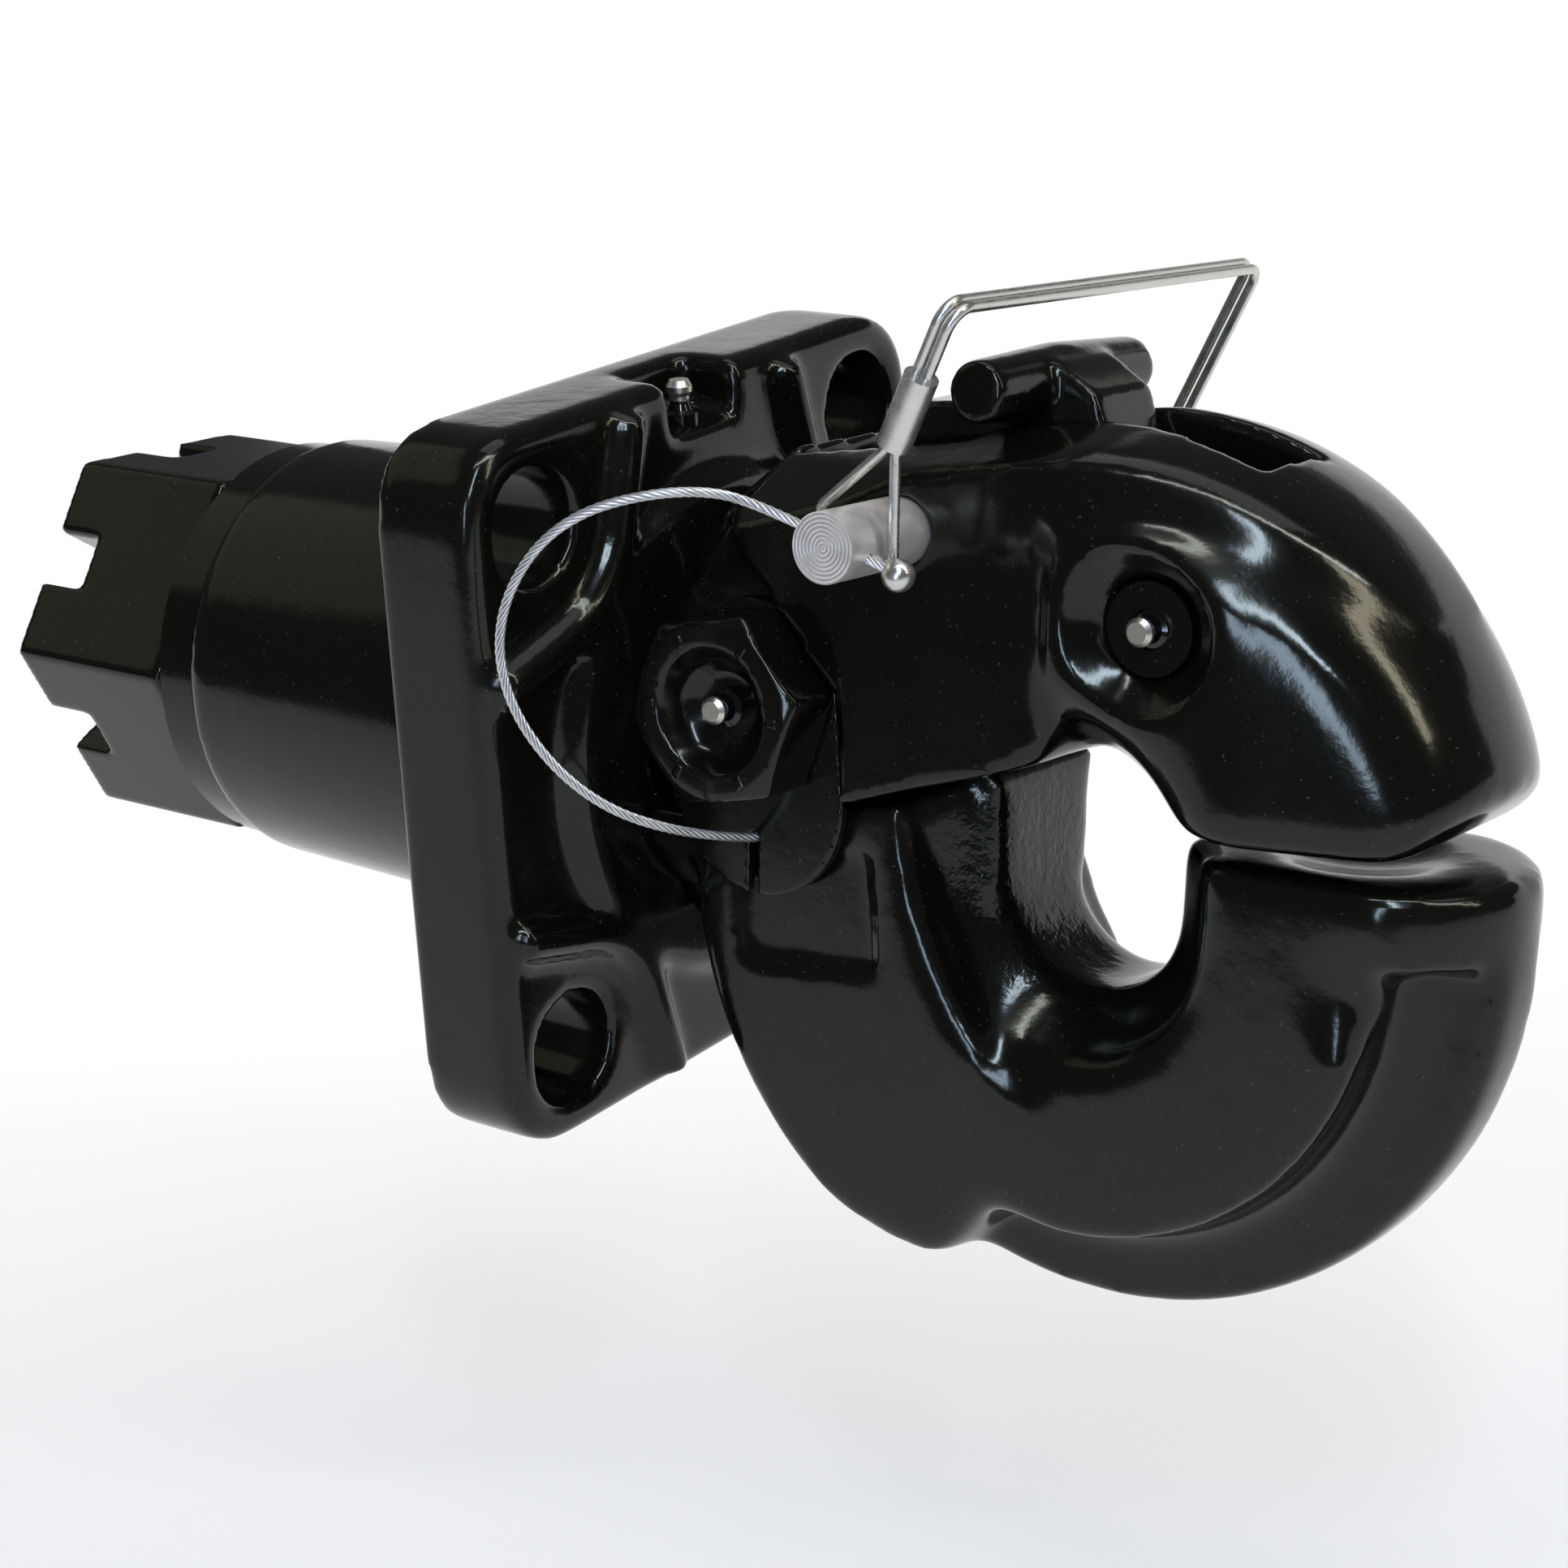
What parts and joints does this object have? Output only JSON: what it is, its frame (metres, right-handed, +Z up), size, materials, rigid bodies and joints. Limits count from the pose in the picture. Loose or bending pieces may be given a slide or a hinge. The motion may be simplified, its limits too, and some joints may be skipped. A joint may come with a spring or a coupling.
{
  "type": "swivel pintle hitch",
  "caption": "Swivel pintle hitch: square bolt-on plate with a sleeve, a turning forged hook, a hinged latch with a T-handle lever, and a lock pin with wire bail and cable tether.",
  "frame": {"origin": "centre of the mounting plate's rear face, on the swivel shank's axis", "axes": "+X along the shank towards the hook, +Z up, +Y to the left of the hook's pull"},
  "size_m": [0.426, 0.185, 0.2489],
  "materials": {
    "black_paint": "gloss",
    "zinc_plate": "satin",
    "bare_steel": "satin",
    "galvanised_rope": "matte"
  },
  "bodies": {
    "plate": {"mounting_plate": "black_paint", "plate_grease_fitting": "bare_steel"},
    "hook": {"hook_body": "black_paint", "thrust_washer": "black_paint", "castle_nut": "black_paint", "cotter_pin": "zinc_plate"},
    "latch": {"latch": "black_paint", "pivot_bolt": "black_paint", "pivot_grease_fitting": "bare_steel", "pivot_nut": "black_paint", "cable_tab": "black_paint", "lever_pin": "zinc_plate", "lever_grease_fitting": "bare_steel", "lever_pin_clip": "zinc_plate", "lock_spring": "zinc_plate", "lock_pin": "zinc_plate", "tether_cable": "galvanised_rope", "cable_stop": "galvanised_rope"},
    "lever": {"lock_lever": "black_paint"},
    "bail": {"wire_bail": "zinc_plate", "bail_ferrule": "zinc_plate"}
  },
  "joints": [
    {"name": "swivel", "type": "hinge", "parent": "plate", "child": "hook", "pos_m": [0, 0, 0], "axis": [1, 0, 0], "continuous": true},
    {"name": "latch_hinge", "type": "hinge", "parent": "hook", "child": "latch", "pos_m": [0.071, 0.00204, 0.01788], "axis": [0, -0.9936, 0.1132], "range_deg": [0, 34]},
    {"name": "lever_hinge", "type": "hinge", "parent": "latch", "child": "lever", "pos_m": [0.174, 0.00543, 0.04769], "axis": [0, 0.9936, -0.1132], "range_deg": [0, 15], "stiffness_Nm_per_rad": 2, "springref_deg": -28.65},
    {"name": "bail_hinge", "type": "hinge", "parent": "latch", "child": "bail", "pos_m": [0.1095, -0.05053, 0.06886], "axis": [0.8878, -0.0521, -0.4572], "range_deg": [0, 36]}
  ]
}
